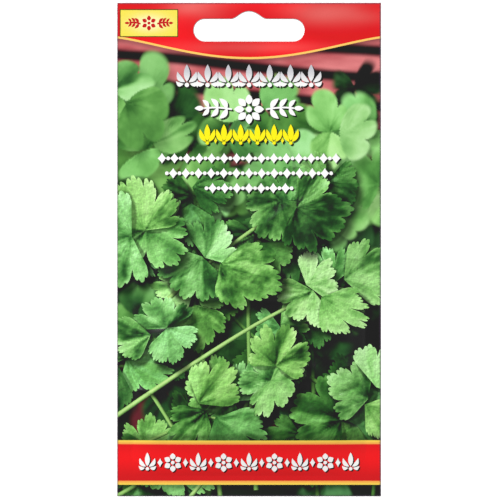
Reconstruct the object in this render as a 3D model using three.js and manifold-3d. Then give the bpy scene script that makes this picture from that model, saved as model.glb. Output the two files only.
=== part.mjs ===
// A flat seed packet for display pegs: two printed sheets sealed round their edges, with a euro
// slot punched through the header and a layer of coriander seeds settled at the bottom.
// Millimetres, +Z up, the printed front faces -Y. The origin is the top of the slot, where a
// display peg carries the packet.

import * as THREE from 'three'
import { mergeVertices } from 'three/addons/utils/BufferGeometryUtils.js'
import Module from 'manifold-3d'

// Driving dimensions
const packetWidth = 76
const packetHeight = 142
const sheetThickness = 0.25
const sideSeal = 4.5
const bottomSeal = 6
const headerHeight = 27
const paperOverSlot = 2.6

const slot = {
  width: 31.7,
  bandHeight: 6.3,
  height: 8.5,
  bumpWidth: 10.2, // where the bump runs out into the band
  fillet: 1.5, // how far the bump's foot runs along the band
  dome: 2.4, // how wide its round top stays on each side
}

const pouch = {
  halfDepth: 2.35, // deepest half of the hollow between the sheets
  sidePower: 3, // how square the pouch is across
  riseShare: 0.2, // share of the pouch's height in which it fills out from the bottom seal
  fullShare: 0.34, // share of its height at which it starts to thin out upwards
}

const seed = {
  count: 56,
  radius: 1.7,
  spread: 0.05, // greatest change of radius from seed to seed, as a share
  gap: 0.12, // least space between seeds, and between a seed and the sheets
  tip: 1.1, // the blunt tip's reach against a round seed
  wander: 0.04, // how far a seed lies from the middle plane
  step: 0.05, // how finely a seed's way down is followed
  sides: 8,
  rings: 6,
  halfSpread: 15, // how far from the middle a seed is let down
  drawSeed: 11,
}

// Heights in the packet's frame
const topZ = paperOverSlot
const bottomZ = topZ - packetHeight
const pouchTopZ = topZ - headerHeight
const pouchBottomZ = bottomZ + bottomSeal
const pouchHeight = pouchTopZ - pouchBottomZ
const pouchHalfWidth = packetWidth / 2 - sideSeal

// Grid lines of a sheet: the seals and the header are one flat cell deep, the pouch is curved
const cellsAcross = 14
const cellsUp = 20

const wasm = await Module()
wasm.setup()

const packet = new THREE.Group()

const laminateFront = new THREE.MeshStandardMaterial({ color: 0x5f9a3c, roughness: 0.28, metalness: 0 })
const laminateBack = new THREE.MeshStandardMaterial({ color: 0xf1efe6, roughness: 0.35, metalness: 0 })
const seedHusk = new THREE.MeshStandardMaterial({ color: 0xb08a52, roughness: 0.8, metalness: 0 })

function clamp01(value) {
  return Math.min(Math.max(value, 0), 1)
}

// Half the depth of the hollow at a place on the sheet: zero on the seals and in the header,
// quickly filling out above the bottom seal and thinning out slowly towards the header.
function halfHollow(x, z) {
  const across = Math.abs(x) / pouchHalfWidth
  const up = (z - pouchBottomZ) / pouchHeight
  if (across >= 1 || up <= 0 || up >= 1) {
    return 0
  }
  const rise = Math.sin((Math.PI / 2) * clamp01(up / pouch.riseShare))
  const thinning = clamp01((up - pouch.fullShare) / (1 - pouch.fullShare))
  const fall = (1 + Math.cos(Math.PI * thinning)) / 2
  return pouch.halfDepth * (1 - across ** pouch.sidePower) * rise * fall
}

// Grid lines from one edge of the sheet to the other, with one cell for each seal
function gridLines(start, inner, outer, end, cells) {
  const lines = [start]
  for (let i = 0; i <= cells; i++) {
    lines.push(inner + ((outer - inner) * i) / cells)
  }
  lines.push(end)
  return lines
}

const linesX = gridLines(-packetWidth / 2, -pouchHalfWidth, pouchHalfWidth, packetWidth / 2, cellsAcross)
const linesZ = gridLines(bottomZ, pouchBottomZ, pouchTopZ, topZ, cellsUp)

function toManifold(geometry) {
  const bare = geometry.clone()
  bare.deleteAttribute('normal')
  bare.deleteAttribute('uv')
  const merged = mergeVertices(bare, 1e-4)
  return new wasm.Manifold(new wasm.Mesh({
    numProp: 3,
    vertProperties: new Float32Array(merged.attributes.position.array),
    triVerts: new Uint32Array(merged.index.array),
  }))
}

function toGeometry(solid) {
  const mesh = solid.getMesh()
  const geometry = new THREE.BufferGeometry()
  geometry.setAttribute('position', new THREE.BufferAttribute(mesh.vertProperties, 3))
  geometry.setIndex(new THREE.BufferAttribute(mesh.triVerts, 1))
  return geometry.toNonIndexed()
}

function addPart(name, geometry, material) {
  const shaded = geometry.clone()
  shaded.computeVertexNormals()
  const mesh = new THREE.Mesh(shaded, material)
  mesh.name = name
  packet.add(mesh)
}

// A box whose grid is moved to the sheet's lines and bent out over the pouch.
// side is -1 for the front sheet and +1 for the back sheet; the two meet at y = 0.
function sheetGeometry(side) {
  const cellsX = linesX.length - 1
  const cellsZ = linesZ.length - 1
  const box = new THREE.BoxGeometry(cellsX, sheetThickness, cellsZ, cellsX, 1, cellsZ)
  const position = box.attributes.position
  for (let i = 0; i < position.count; i++) {
    const x = linesX[Math.round(position.getX(i) + cellsX / 2)]
    const z = linesZ[Math.round(position.getZ(i) + cellsZ / 2)]
    const y = position.getY(i) + side * (sheetThickness / 2 + halfHollow(x, z))
    position.setXYZ(i, x, y, z)
  }
  return box
}

// The euro slot: a band with round ends and a narrower bump on top, where the peg sits
function slotOutline() {
  const endRadius = slot.bandHeight / 2
  const shoulderZ = slot.bandHeight - slot.height
  const endX = slot.width / 2 - endRadius
  const middleZ = shoulderZ - endRadius
  const footX = slot.bumpWidth / 2
  const outline = new THREE.Shape()
  outline.moveTo(-endX, -slot.height)
  outline.absarc(endX, middleZ, endRadius, -Math.PI / 2, Math.PI / 2, false)
  outline.lineTo(footX, shoulderZ)
  outline.bezierCurveTo(footX - slot.fillet, shoulderZ, slot.dome, 0, 0, 0)
  outline.bezierCurveTo(-slot.dome, 0, slot.fillet - footX, shoulderZ, -footX, shoulderZ)
  outline.absarc(-endX, middleZ, endRadius, Math.PI / 2, (3 * Math.PI) / 2, false)
  return outline
}

function slotCutter() {
  const reach = 8 * sheetThickness
  const shape = slotOutline()
  const punch = new THREE.ExtrudeGeometry(shape, { depth: reach, bevelEnabled: false, curveSegments: 7 })
  punch.rotateX(Math.PI / 2)
  punch.translate(0, reach / 2, 0)
  return toManifold(punch)
}

const cutter = slotCutter()
addPart('front_sheet', toGeometry(toManifold(sheetGeometry(-1)).subtract(cutter)), laminateFront)
addPart('back_sheet', toGeometry(toManifold(sheetGeometry(1)).subtract(cutter)), laminateBack)

// Draws that repeat from run to run, between -1 and 1
function seededDraw(start) {
  let state = start
  return () => {
    state = (state * 16807) % 2147483647
    return (2 * state) / 2147483647 - 1
  }
}

// A coriander seed is nearly round, with a small blunt tip
function seedGeometry(radius) {
  const profile = []
  for (let i = 0; i <= seed.rings; i++) {
    const angle = (Math.PI * i) / seed.rings
    const reach = i === seed.rings ? radius * seed.tip : radius
    const out = i === 0 || i === seed.rings ? 0 : radius * Math.sin(angle)
    profile.push(new THREE.Vector2(out, -reach * Math.cos(angle)))
  }
  return new THREE.LatheGeometry(profile, seed.sides)
}

// The seeds lie in one layer. Each is let down at a random place across and rolls until both ways
// lead upwards, so it rests on the seeds below it, or where the hollow gets too thin for it.
const draw = seededDraw(seed.drawSeed)
const settled = []

// Room that a seed takes to each side, however it is turned
function reachOf(radius) {
  return radius * seed.tip + seed.gap / 2
}

// The lowest place at x where the hollow is deep enough for a seed
function floorAt(x, radius) {
  const needed = reachOf(radius) + seed.gap / 2 + seed.wander
  let z = pouchBottomZ
  while (z < pouchTopZ && halfHollow(x, z) < needed) {
    z += seed.step
  }
  return z
}

function restingHeight(x, radius) {
  let z = floorAt(x, radius)
  for (const other of settled) {
    const apart = reachOf(radius) + reachOf(other.radius)
    const across = Math.abs(x - other.x)
    if (across < apart) {
      z = Math.max(z, other.z + Math.sqrt(apart ** 2 - across ** 2))
    }
  }
  return z
}

function letDown(startX, radius) {
  let x = startX
  let z = restingHeight(x, radius)
  for (;;) {
    const left = restingHeight(x - seed.step, radius)
    const right = restingHeight(x + seed.step, radius)
    if (Math.min(left, right) >= z) {
      return { x, z, radius }
    }
    x += left < right ? -seed.step : seed.step
    z = Math.min(left, right)
  }
}

for (let i = 1; i <= seed.count; i++) {
  const radius = seed.radius * (1 + seed.spread * draw())
  const place = letDown(seed.halfSpread * draw(), radius)
  settled.push(place)
  const geometry = seedGeometry(radius)
  geometry.rotateX(Math.PI * draw())
  geometry.rotateZ(Math.PI * draw())
  geometry.translate(place.x, seed.wander * draw(), place.z)
  addPart(`seed_${String(i).padStart(2, '0')}`, toGeometry(toManifold(geometry)), seedHusk)
}

export default packet
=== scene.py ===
# A seed packet for display pegs, seen square on: two glossy printed sheets sealed round their edges,
# a euro slot in the header and a few dozen coriander seeds settled at the bottom.
# Drawing is done in millimetres, x to the right of the front and up from the bottom edge.
from functools import partial
from math import cos, sin, pi, radians, sqrt

import bpy
import numpy as np
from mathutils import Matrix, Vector
from mathutils.geometry import delaunay_2d_cdt


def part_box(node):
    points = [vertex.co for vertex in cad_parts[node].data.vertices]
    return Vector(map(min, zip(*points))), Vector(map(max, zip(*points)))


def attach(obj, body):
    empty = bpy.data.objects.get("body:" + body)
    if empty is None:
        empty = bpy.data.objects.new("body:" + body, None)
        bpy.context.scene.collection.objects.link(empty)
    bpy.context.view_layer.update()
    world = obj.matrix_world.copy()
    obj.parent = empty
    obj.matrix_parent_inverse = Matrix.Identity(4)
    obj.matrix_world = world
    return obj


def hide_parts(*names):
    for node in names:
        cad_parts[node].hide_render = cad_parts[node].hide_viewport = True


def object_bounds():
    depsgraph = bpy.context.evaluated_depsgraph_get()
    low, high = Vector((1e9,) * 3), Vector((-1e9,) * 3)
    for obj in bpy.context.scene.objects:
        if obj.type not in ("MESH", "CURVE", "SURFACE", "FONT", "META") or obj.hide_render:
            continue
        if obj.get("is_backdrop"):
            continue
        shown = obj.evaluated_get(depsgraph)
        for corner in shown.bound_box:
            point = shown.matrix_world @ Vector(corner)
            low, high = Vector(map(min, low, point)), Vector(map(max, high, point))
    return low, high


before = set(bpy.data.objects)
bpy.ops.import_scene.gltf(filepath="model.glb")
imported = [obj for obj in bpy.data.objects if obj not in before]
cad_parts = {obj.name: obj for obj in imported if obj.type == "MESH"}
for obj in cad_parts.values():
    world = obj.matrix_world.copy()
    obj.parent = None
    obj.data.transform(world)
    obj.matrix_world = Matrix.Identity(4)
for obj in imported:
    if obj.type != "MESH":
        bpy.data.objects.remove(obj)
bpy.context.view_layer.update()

mm = 0.001

# The packet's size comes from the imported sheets
frontLow, frontHigh = (np.array(corner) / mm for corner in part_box("front_sheet"))

packet = {
    "width": float(frontHigh[0] - frontLow[0]),
    "height": float(frontHigh[2] - frontLow[2]),
    "bottom": float(frontLow[2]),      # height of the bottom edge in the frame
    "sheet": 0.25,                     # thickness of one laminated sheet
    "sideSeal": 4.5,
    "bottomSeal": 6.0,
    "header": 27.0,
    "halfDepth": 2.35,                 # deepest half of the hollow
    "sidePower": 3,                    # how square the hollow is across
    "riseShare": 0.2,                  # share of its height in which it fills out
    "fullShare": 0.34,                 # share at which it starts to thin out again
}

halfWidth = packet["width"] / 2
sealX = halfWidth - packet["sideSeal"]  # inner edge of the side seals
bleedX = halfWidth + 1                 # the print's fields run a little past the cut edge

slot = {
    "width": 31.7,
    "bandHeight": 6.3,
    "height": 8.5,
    "bumpWidth": 10.2,                 # where the bump runs out into the band
    "fillet": 1.5,                     # how far the bump's foot runs along the band
    "dome": 2.4,                       # how wide its round top stays on each side
    "top": -packet["bottom"],          # the slot's top is the frame's origin
}

# Numbers, directions and colours

# Goes from 0 to 1 between low and high along a smooth S
def smooth(low, high, value):
    share = np.clip((value - low) / (high - low), 0, 1)
    return share * share * (3 - 2 * share)

# From the first value to the second by a share of the way
def mix(first, second, share):
    return first * (1 - share) + second * share

# The same for colours, with a share for each point
def mixInk(first, second, share):
    return mix(first, second, share[:, None])

# A vector, or each row of vectors, at length 1
def unit(way):
    return way / np.linalg.norm(way, axis=-1, keepdims=True)

# Directions in the plane, turned a quarter to the left
def leftOf(way):
    return np.stack([-way[..., 1], way[..., 0]], -1)

# A screen colour from 0 to 255 as linear light
def linear(*rgb):
    c = np.array(rgb) / 255
    return np.where(c <= 0.04045, c / 12.92, ((c + 0.055) / 1.055) ** 2.4)

noiseTable = np.random.default_rng(5).random((64, 64))

# Random heights at the corners of square cells of the given size, blended smoothly between
def noise(x, up, size):
    count = len(noiseTable)
    gx, gu = x / size, up / size
    ix, iu = np.floor(gx).astype(int), np.floor(gu).astype(int)
    fx, fu = smooth(0, 1, gx - ix), smooth(0, 1, gu - iu)
    rows = [mix(noiseTable[ix % count, row % count], noiseTable[(ix + 1) % count, row % count], fx)
            for row in (iu, iu + 1)]
    return mix(*rows, fu)

# The same noise between -0.5 and 0.5
def ripple(x, up, size):
    return noise(x, up, size) - 0.5

# Three sizes of noise, each half as large and half as strong as the one before, from 0 to 1
def cloud(x, up, size):
    shifts = ((0, 0), (31, -17), (-9, 23))
    return sum(noise(x + dx, up + du, size / 2 ** k) / 2 ** k for k, (dx, du) in enumerate(shifts)) / 1.75

# The packet's form

paper = {
    "spacing": 0.44,                   # distance between the grid points of the picture
    "backSpacing": 0.7,                # and of the plainer back
    "innerSpacing": 2.6,               # and of the plain inner face
    "bevel": 0.16,                     # width of the crushed edge round the print
    "bevelDepth": 0.35,                # and its depth as a share of the sheet's thickness
    "wave": 0.10, "waveSize": 24.0,    # how far the flat header and seals wander
    "slack": 0.9, "slackSize": 8.0,    # height of the slow waves above the seeds
    "slackFrom": (34, 62),             # heights between which they set in
    "crest": 0.3,                      # how round the crests of the creases are
    "lump": 0.30, "lumpArea": 1.9,     # how far a seed shows through the sheet at most, and how widely
    "glossLift": 0.013,                # how much light the laminate adds to the print by its shine
    # the rim colour below stands partly for crushed ink at the cut and partly for painted shade along the
    # packet's edge
    "edgeInkAndShade": linear(66, 52, 72),     # the crushed and shaded rim of the packet
    "edgeShade": 0.8, "edgeFade": 0.35,
}

# Short folds run in from each side seal, long creases cross the slack part above the seeds
shortFolds = {
    "count": 9, "low": 14, "high": 106, "inset": 1.0, "length": (7, 13), "rise": 3.5,
    "height": 0.45, "least": 0.5, "width": 0.9,
}
longCreases = {
    "count": 6, "low": 52, "high": 104, "aside": 18, "half": (9, 17), "turn": 0.9,
    "height": 0.40, "least": 0.6, "width": 1.3,
}

# The seeds' places are those of the solids inside the packet, and each shows by a share of its own
seedNames = sorted(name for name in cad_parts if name.startswith("seed_"))
seedPlaces = np.array([np.mean(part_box(name), axis=0) for name in seedNames]) / mm
seedPlaces[:, 2] -= packet["bottom"]
seedShows = np.random.default_rng(9).uniform(0.35, 1.0, len(seedNames))
print("packet", round(packet["width"], 1), "by", round(packet["height"], 1), "mm,", len(seedNames), "seeds")

# Half the depth of the hollow: 1 - |x|^3 across, a quarter sine up from the bottom seal, half a
# cosine down to the header, nothing on the seals
def halfHollow(x, up):
    across = np.abs(x) / sealX
    share = (up - packet["bottomSeal"]) / (packet["height"] - packet["header"] - packet["bottomSeal"])
    rise = np.sin(pi / 2 * np.clip(share / packet["riseShare"], 0, 1))
    thinning = np.clip((share - packet["fullShare"]) / (1 - packet["fullShare"]), 0, 1)
    fall = (1 + np.cos(pi * thinning)) / 2
    return packet["halfDepth"] * np.clip(1 - across ** packet["sidePower"], 0, None) * rise * fall

# Slow waves of both sheets together, where no seeds lie between them
def wander(x, up):
    flat = 1 - smooth(0.1, 0.9, halfHollow(x, up))
    return paper["wave"] * flat * 2 * ripple(x + 60, up + 9, paper["waveSize"])

# The creases of a sheet as start, end, height and width, by random draws of its own. side is -1 for
# the front and 1 for the back.
def growCreases(side):
    rng = np.random.default_rng(40 + side)
    creases = []

    def add(kind, start, end):
        height = kind["height"] * rng.uniform(kind["least"], 1.0) * rng.choice([-1, 1])
        creases.append((start, end, height, kind["width"]))

    def placeUp(kind, step):
        return kind["low"] + (kind["high"] - kind["low"]) * step / kind["count"]

    for edge in (-1, 1):
        for k in range(shortFolds["count"]):
            up = placeUp(shortFolds, k + rng.uniform(0.2, 0.8))
            length, rise = rng.uniform(*shortFolds["length"]), shortFolds["rise"] * rng.uniform(-1, 1)
            add(shortFolds, (edge * (sealX - shortFolds["inset"]), up), (edge * (sealX - length), up + rise))
    for k in range(longCreases["count"]):
        middle = np.array((longCreases["aside"] * rng.uniform(-1, 1), placeUp(longCreases, k + 0.5)))
        turn, half = longCreases["turn"] * rng.uniform(-1, 1), rng.uniform(*longCreases["half"])
        way = half * np.array((cos(turn), sin(turn)))
        add(longCreases, middle - way, middle + way)
    return creases

sheetCreases = {side: growCreases(side) for side in (-1, 1)}

# How far the sheet stands out past the even pouch: creases, each exp(-d / width) across with a rounded
# crest and half a sine along, slow slack waves above the seeds, and a low round lump over each seed
def outward(x, up, side):
    half = halfHollow(x, up)
    creases, lumps = np.zeros_like(half), np.zeros_like(half)
    for start, end, height, width in sheetCreases[side]:
        way, dx, du = np.subtract(end, start), x - start[0], up - start[1]
        along = np.sin(pi * np.clip((dx * way[0] + du * way[1]) / (way @ way), 0, 1))
        off = (dx * way[1] - du * way[0]) / np.linalg.norm(way) / width
        creases += height * along * np.exp(paper["crest"] - np.sqrt(off ** 2 + paper["crest"] ** 2))
    slack = paper["slack"] * ripple(x + 20 * side, up * 0.4, paper["slackSize"])
    slack = slack * smooth(*paper["slackFrom"], up)
    for place, share in zip(seedPlaces, seedShows):
        away = (x - place[0]) ** 2 + (up - place[2]) ** 2
        lumps = np.maximum(lumps, share * paper["lump"] * np.exp(-away / paper["lumpArea"]))
    loose = smooth(0.15, 0.9, half) * slack + smooth(0.0, 0.5, half) * creases
    return np.maximum(loose, -0.6 * half) + lumps

# Points of a sheet in metres: depth 0 is its outer face and 1 its inner face
def surface(x, up, side, depth):
    away = halfHollow(x, up) + outward(x, up, side) + packet["sheet"] * (1 - depth)
    return np.stack([x, side * away + wander(x, up), up + packet["bottom"]], 1) * mm

# The direction a sheet faces outwards, from small steps across and up along its surface
def facing(x, up, side, depth):
    step = 0.02
    across = surface(x + step, up, side, depth) - surface(x - step, up, side, depth)
    rising = surface(x, up + step, side, depth) - surface(x, up - step, side, depth)
    return unit(-side * np.cross(across, rising))

# A cubic curve through its first and last point, without the last one
def bezier(points, count):
    t = np.linspace(0, 1, count, endpoint=False)[:, None]
    a, b, c, d = np.array(points, float)
    return a * (1 - t) ** 3 + 3 * b * t * (1 - t) ** 2 + 3 * c * t * t * (1 - t) + d * t ** 3

# The punched slot: a band with half-round ends and a domed bump, as one closed line
def slotLine():
    r = slot["bandHeight"] / 2
    endX, foot = slot["width"] / 2 - r, slot["bumpWidth"] / 2
    floor = slot["top"] - slot["height"]
    shoulder = floor + slot["bandHeight"]
    pulls, crest = [(foot - slot["fillet"], shoulder), (slot["dome"], slot["top"])], (0, slot["top"])
    turn = np.linspace(-pi / 2, pi / 2, 15)
    end = np.stack([endX + r * np.cos(turn), floor + r + r * np.sin(turn)], 1)
    bump = bezier([(foot, shoulder), *pulls, crest], 9)
    right = np.concatenate([end, bump])
    return np.concatenate([right, [crest], right[::-1] * (-1, 1)])

# The packet's outline, anticlockwise
def packetLine():
    height = packet["height"]
    return np.array([(-halfWidth, 0), (halfWidth, 0), (halfWidth, height), (-halfWidth, height)], float)

# A closed line moved inwards (towards its left hand) by inset, corners kept sharp
def rim(line, inset):
    back, ahead = unit(line - np.roll(line, 1, 0)), unit(np.roll(line, -1, 0) - line)
    inward = unit(leftOf(back + ahead))
    corner = np.clip((inward * leftOf(back)).sum(1), 0.5, 1)
    return line + inset * inward / corner[:, None]

# Drawing a print: marks are laid one over the other, first to last. A mark with a line has a crisp
# edge, which the mesh follows; one without fades out by its cover.

# Turns and reach of a place that lies on no leaf's ribs
offLeaf = (0.5, -1.0)

def crispMark(line, colour, cover=1.0, ribs=None):
    low, high = np.min(line, 0), np.max(line, 0)
    return {"line": line, "colour": colour, "cover": cover, "ribs": ribs, "low": low, "high": high}

def softMark(centre, reach, colour, cover):
    low, high = np.subtract(centre, reach), np.add(centre, reach)
    return {"line": None, "colour": colour, "cover": cover, "low": low, "high": high}

def plain(colour):
    return lambda x, up: np.broadcast_to(colour, (len(x), 3))

def inked(shapes, colour):
    return [crispMark(shape, plain(colour)) for shape in shapes]

# Which points lie inside a closed line: those with an odd number of its edges to their right
def inside(line, x, up):
    mostPairs = 2_000_000              # points times edges looked at in one go
    ax, au = line[:, 0], line[:, 1]
    bx, bu = np.roll(ax, -1), np.roll(au, -1)
    step = np.where(bu == au, 1, bu - au)
    found = np.zeros(len(x), bool)
    for part in np.array_split(np.arange(len(x)), max(1, len(x) * len(ax) // mostPairs)):
        px, pu = x[part, None], up[part, None]
        crosses = ((au > pu) != (bu > pu)) & (px < ax + (pu - au) * (bx - ax) / step)
        found[part] = crosses.sum(1) % 2 == 1
    return found

# The edges of the marks' lines that no later solid mark hides
def visibleEdges(marks):
    lined = [mark for mark in marks if mark["line"] is not None]
    starts, ends = [], []
    for number, mark in enumerate(lined):
        a = mark["line"]
        b = np.roll(a, -1, 0)
        hidden = np.zeros(len(a), bool)
        for later in lined[number + 1:]:
            apart = (later["low"] > mark["high"]).any() or (later["high"] < mark["low"]).any()
            if apart or later["cover"] < 1:
                continue
            covered = inside(later["line"], *a.T)
            if covered.any():
                hidden |= covered & np.roll(covered, -1) & inside(later["line"], *((a + b) / 2).T)
        starts.append(a[~hidden])
        ends.append(b[~hidden])
    return np.concatenate(starts), np.concatenate(ends)

# Edges cut into equal pieces no longer than a given length
def divided(starts, ends, longest):
    parts = np.ceil(np.linalg.norm(ends - starts, axis=1) / longest).clip(1).astype(int)
    edge = np.repeat(np.arange(len(starts)), parts)
    step = (np.arange(len(edge)) - (np.cumsum(parts) - parts)[edge])[:, None]
    way = (ends - starts)[edge] / parts[edge][:, None]
    return starts[edge] + way * step, starts[edge] + way * (step + 1)

# Triangles between the given loops that keep the given edges, with a grid of points between. Returns
# the points and the triangles inside the first loop and outside the others.
def triangulate(loops, starts, ends, spacing):
    low, high = loops[0].min(0), loops[0].max(0)
    rows = np.arange(low[1] + spacing / 2, high[1], spacing * sqrt(0.75))
    cols = np.arange(low[0] + spacing / 2, high[0] - spacing / 4, spacing)
    gridX, gridUp = np.meshgrid(cols, rows)
    gridX = gridX + (np.arange(len(rows)) % 2)[:, None] * spacing / 2
    grid = np.stack([gridX.ravel(), gridUp.ravel()], 1)
    edges = [(loop, np.roll(loop, -1, 0)) for loop in loops] + [(starts, ends)]
    a, b = divided(*(np.concatenate(halves) for halves in zip(*edges)), 1.4 * spacing)

    # one number for each square cell, to find the grid points that would only make slivers at an edge
    def cellOf(points):
        return np.floor(points / (spacing / 2)).astype(int) @ (100000, 1)

    near = np.concatenate([mix(a, b, t) for t in (0, 0.5)])
    free = ~np.isin(cellOf(grid), cellOf(near))
    grid = grid[free & (grid > low + spacing / 3).all(1) & (grid < high - spacing / 3).all(1)]
    points, index = np.unique(np.round(np.concatenate([a, b]), 5), axis=0, return_inverse=True)
    index = index.reshape(2, -1).T
    index = index[index[:, 0] != index[:, 1]]
    every = np.concatenate([points, grid])
    found = delaunay_2d_cdt(list(map(Vector, every.tolist())), index.tolist(), [], 0, 1e-4, False)
    places, triangles = np.array([tuple(point) for point in found[0]]), np.array(found[2])
    middle = places[triangles].mean(1)
    keep = inside(loops[0], *middle.T)
    for hole in loops[1:]:
        keep &= ~inside(hole, *middle.T)
    triangles = triangles[keep]
    ab, ac = (places[triangles[:, k]] - places[triangles[:, 0]] for k in (1, 2))
    turn = ab[:, 0] * ac[:, 1] - ab[:, 1] * ac[:, 0]
    triangles[turn < 0] = triangles[turn < 0][:, ::-1]
    triangles = triangles[np.abs(turn) > 1e-7]
    used, triangles = np.unique(triangles, return_inverse=True)
    return places[used], triangles.reshape(-1, 3)

# Lays the marks over the ground, for each corner of each triangle. Also returns where a corner lies
# among a leaf's ribs: turns of the rib pattern and distance from the leaf's base.
def paint(marks, places, triangles, ground):
    middle = places[triangles].mean(1)
    colour = ground(*places.T)[triangles]
    ribs = np.full((len(triangles), 3, 2), offLeaf)
    for mark in marks:
        low, high, line = mark["low"], mark["high"], mark["line"]
        if line is None:
            near = ((places >= low) & (places <= high)).all(1)
            if near.any():
                faces = near[triangles].any(1)
                cover, over = np.zeros((len(places), 1)), np.zeros((len(places), 3))
                cover[near, 0] = mark["cover"](*places[near].T)
                over[near] = mark["colour"](*places[near].T)
                colour[faces] = mix(colour[faces], over[triangles[faces]], cover[triangles[faces]])
            continue
        faces = np.flatnonzero(((middle >= low) & (middle <= high)).all(1))
        faces = faces[inside(line, *middle[faces].T)]
        if len(faces):
            x, up = places[triangles[faces].ravel()].T
            colour[faces] = mix(colour[faces], mark["colour"](x, up).reshape(-1, 3, 3), mark["cover"])
            if mark["ribs"]:
                ribs[faces] = np.stack(mark["ribs"](x, up), -1).reshape(-1, 3, 2)
            elif mark["cover"] == 1:
                ribs[faces] = offLeaf
    return colour, ribs

# Coriander leaves

leafGreens = {
    "at": [0.0, 0.16, 0.32, 0.50, 0.68, 0.84, 1.0, 1.2],
    "colours": np.array([
        linear(12, 12, 18), linear(22, 42, 26), linear(52, 102, 44), linear(94, 153, 72),
        linear(132, 192, 102), linear(160, 216, 126), linear(186, 234, 152), linear(204, 242, 172),
    ]),
}

leafLight = {
    "sun": (-0.45, 0.62, 0.65),        # towards the light, from above left
    "shade": 0.21, "lit": 0.86,        # lightness in the shade, and what the light adds
    "rim": 0.14, "heart": 0.14,        # paler at the rim, deeper towards the base
    "patches": 0.10,                   # slow changes of the green
    "hollows": 0.6,                    # slopes of the blade's slow waves
    "sheen": linear(160, 232, 170), "sheenSharp": 0.30, "sheenBlurred": 0.06,
    "gloss": 24,                       # how narrow the sheen is
}

sun = unit(np.array(leafLight["sun"]))
glint = unit(sun + (0, 0, 1))

# The greens from shade to light, by the amount of light
def leafGreen(shade):
    colours = leafGreens["colours"]
    return np.stack([np.interp(shade, leafGreens["at"], colours[:, k]) for k in range(3)], -1)

# Distance from a blade's base to its edge in the direction theta: a rounded fan, less a cusp between
# its lobes, less a small cusp between the teeth of each lobe, less the deep cuts
def bladeEdge(blade, theta, soft=0.0):
    t = np.clip((theta / blade["span"] + 1) / 2, 0, 1) * blade["lobes"]
    k = np.minimum(t.astype(int), blade["lobes"] - 1)
    lobe = np.abs(np.sin(pi * t)) ** 0.7
    tooth = np.abs(np.sin(pi * t * blade["teeth"])) ** 0.5
    fan = blade["sides"] + (1 - blade["sides"]) * np.cos(theta / blade["span"] * pi / 2) ** 0.7
    cut = sum(depth * np.exp(-np.abs(t - where) / width) for where, depth, width in blade["cuts"])
    depth = blade["lobeDepth"] * blade["uneven"][k] * (1 - soft)
    fine = blade["toothDepth"] * (1 - soft)
    longer = 1 + blade["long"][k] * lobe * (1 - soft)
    return blade["radius"] * fan * (1 - cut) * (1 - depth * (1 - lobe)) * (1 - fine * (1 - tooth)) * longer

# A point as distance and direction from the blade's base, with its lean and bend undone
def bladePolar(blade, x, up):
    dx, du = x - blade["base"][0], up - blade["base"][1]
    c, s = cos(blade["turn"]), sin(blade["turn"])
    u = (dx * c + du * s) / blade["lean"][0]
    v = (du * c - dx * s) / blade["lean"][1]
    v = v - blade["bend"] * u * u / blade["radius"]
    return np.hypot(u, v), np.arctan2(v, u)

# The blade's edge as a closed line with four points to a tooth
def bladeLine(blade):
    count = blade["lobes"] * blade["teeth"] * 4 + 1
    theta = np.linspace(-blade["span"], blade["span"], count)
    r = bladeEdge(blade, theta)
    u, v = r * np.cos(theta), r * np.sin(theta)
    v = (v + blade["bend"] * u * u / blade["radius"]) * blade["lean"][1]
    u = u * blade["lean"][0]
    c, s = cos(blade["turn"]), sin(blade["turn"])
    line = np.stack([blade["base"][0] + u * c - v * s, blade["base"][1] + u * s + v * c], 1)
    return np.concatenate([line, [blade["base"]]])

# Light on a blade: slopes from the swelling between its ribs, pleats that fan out from its base, its
# fold, its curled tips and two sizes of crinkles, with paler rims and a deeper middle. soft is 0 for
# a sharp blade and 1 for a quite blurred one.
def bladeColour(blade, x, up, soft=0.0):
    r, theta = bladePolar(blade, x, up)
    sway, span, sharp = blade["sway"], blade["span"], 1 - soft
    warp = 0.35 * ripple(x + sway, up, 4.5)
    rho = r / np.maximum(bladeEdge(blade, np.clip(theta, -span, span), soft), 0.3)
    wave = np.sin((theta + warp) / span * blade["ribs"] * pi)
    pleats = ripple(theta * 6.5 + sway, r * 0.22 + sway, 1.0) + ripple(theta * 15 - sway, r * 0.4, 1.0)
    swell = (blade["pucker"] * np.sign(wave) * np.sqrt(np.abs(wave)) + blade["pleats"] * pleats) * sharp
    fold = blade["fold"] * np.tanh((theta + warp / 2) * 7)
    curl = blade["curl"] * (r / blade["radius"]) ** 1.5
    slopeU = -swell * np.sin(theta) - curl * np.cos(theta)
    slopeV = swell * np.cos(theta) + fold - curl * np.sin(theta)
    c, s = cos(blade["turn"]), sin(blade["turn"])
    gx = slopeU * c - slopeV * s + blade["tilt"][0] + leafLight["hollows"] * ripple(x + sway, up, 5.0)
    gu = slopeU * s + slopeV * c + blade["tilt"][1] + leafLight["hollows"] * ripple(x - sway, up, 5.0)
    for size in (1.7, 0.95):
        gx = gx + blade["crinkle"] * sharp * ripple(x + 7, up, size)
        gu = gu + blade["crinkle"] * sharp * ripple(x, up + 19, size)
    length = np.sqrt(gx * gx + gu * gu + 1)
    lit, shine = (np.clip((way[2] - gx * way[0] - gu * way[1]) / length, 0, 1) for way in (sun, glint))
    pale = leafLight["rim"] * smooth(0.80, 1.0, rho) * sharp
    shade = blade["tone"] * (leafLight["shade"] + leafLight["lit"] * lit + pale)
    shade = shade - leafLight["heart"] * (1 - smooth(0.0, 0.5, rho))
    shade = shade + leafLight["patches"] * (cloud(x, up, 2.6) - 0.5)
    strength = mix(leafLight["sheenSharp"], leafLight["sheenBlurred"], soft)
    sheen = blade["sheen"] * strength * shine[:, None] ** leafLight["gloss"] * leafLight["sheen"]
    return (leafGreen(shade) + sheen) * blade["tint"]

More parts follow.
